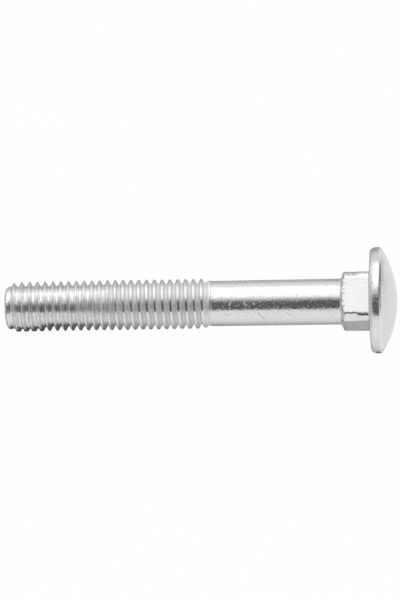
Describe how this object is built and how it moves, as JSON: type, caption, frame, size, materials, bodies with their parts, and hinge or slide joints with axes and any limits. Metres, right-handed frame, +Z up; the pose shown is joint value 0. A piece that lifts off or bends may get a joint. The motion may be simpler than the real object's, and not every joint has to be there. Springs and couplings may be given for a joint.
{
  "type": "carriage bolt",
  "caption": "Metric carriage bolt with a low domed head, a square neck, a plain reduced shank and a rolled right-hand thread.",
  "frame": {"origin": "on the surface that the bolt lies on, below the middle of its box", "axes": "+X runs along the lying bolt towards its head, +Z is up; the bolt's own axis lies in the XZ plane and rises 4.5 degrees towards the head"},
  "size_m": [0.0626, 0.0168, 0.0169],
  "materials": {
    "zinc_plated_steel": "gloss"
  },
  "bodies": {
    "root": {"bolt": "zinc_plated_steel"}
  },
  "joints": []
}
